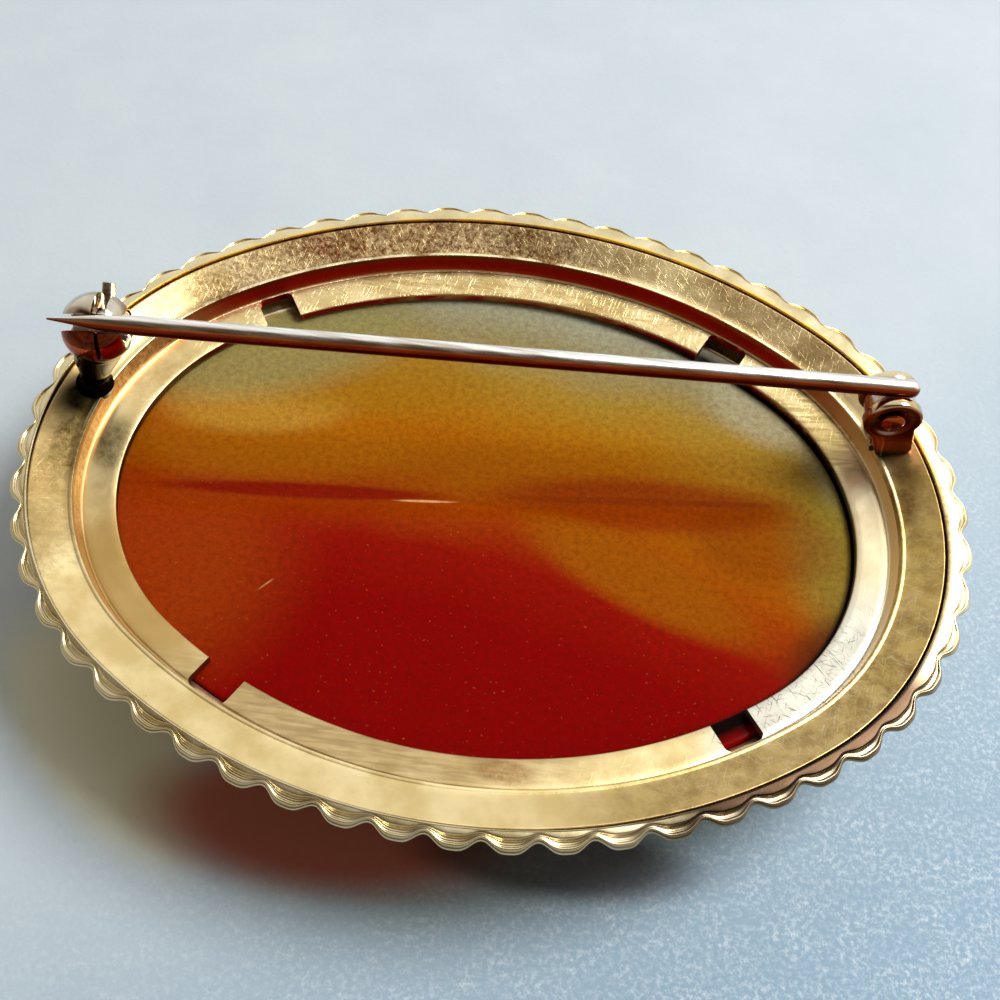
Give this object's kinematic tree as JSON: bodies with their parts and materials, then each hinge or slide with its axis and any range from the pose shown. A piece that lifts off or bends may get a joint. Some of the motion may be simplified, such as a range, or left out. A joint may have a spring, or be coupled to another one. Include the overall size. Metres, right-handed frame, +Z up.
{
  "type": "brooch",
  "caption": "Oval brooch lying face down: a domed stone in a scalloped border, a sloping back ring with folded tabs, an open pin on a riveted hinge and a ball catch.",
  "frame": {"origin": "on the surface that the dome rests on, under the middle of the scalloped border", "axes": "+X along the brooch towards the hinge, +Y across it towards the side where the hinge and the catch stand, +Z up from the surface; the brooch lies face down"},
  "size_m": [0.0492, 0.0386, 0.0138],
  "materials": {
    "border_metal": "gilt, satin",
    "ring_metal": "gilt, finely scratched",
    "stone": "polished banded agate",
    "pin_metal": "bright wire",
    "rivet_metal": "gilt",
    "catch_metal": "polished"
  },
  "bodies": {
    "brooch": {"scalloped_border": "border_metal", "back_ring": "ring_metal", "agate": "stone", "hinge_rivet": "rivet_metal"},
    "pin": {"pin_stem": "pin_metal"},
    "catch": {"catch_rotor": "catch_metal"}
  },
  "joints": [
    {"name": "pin_swing", "type": "hinge", "parent": "brooch", "child": "pin", "pos_m": [0.01993, 0.00578, 0.01001], "axis": [-0.0879, 0.9961, 0], "range_deg": [0, 95]},
    {"name": "catch_turn", "type": "hinge", "parent": "brooch", "child": "catch", "pos_m": [-0.02087, 0.00328, 0.01161], "axis": [-0.9982, -0.0593, 0], "range_deg": [0, 85]}
  ]
}
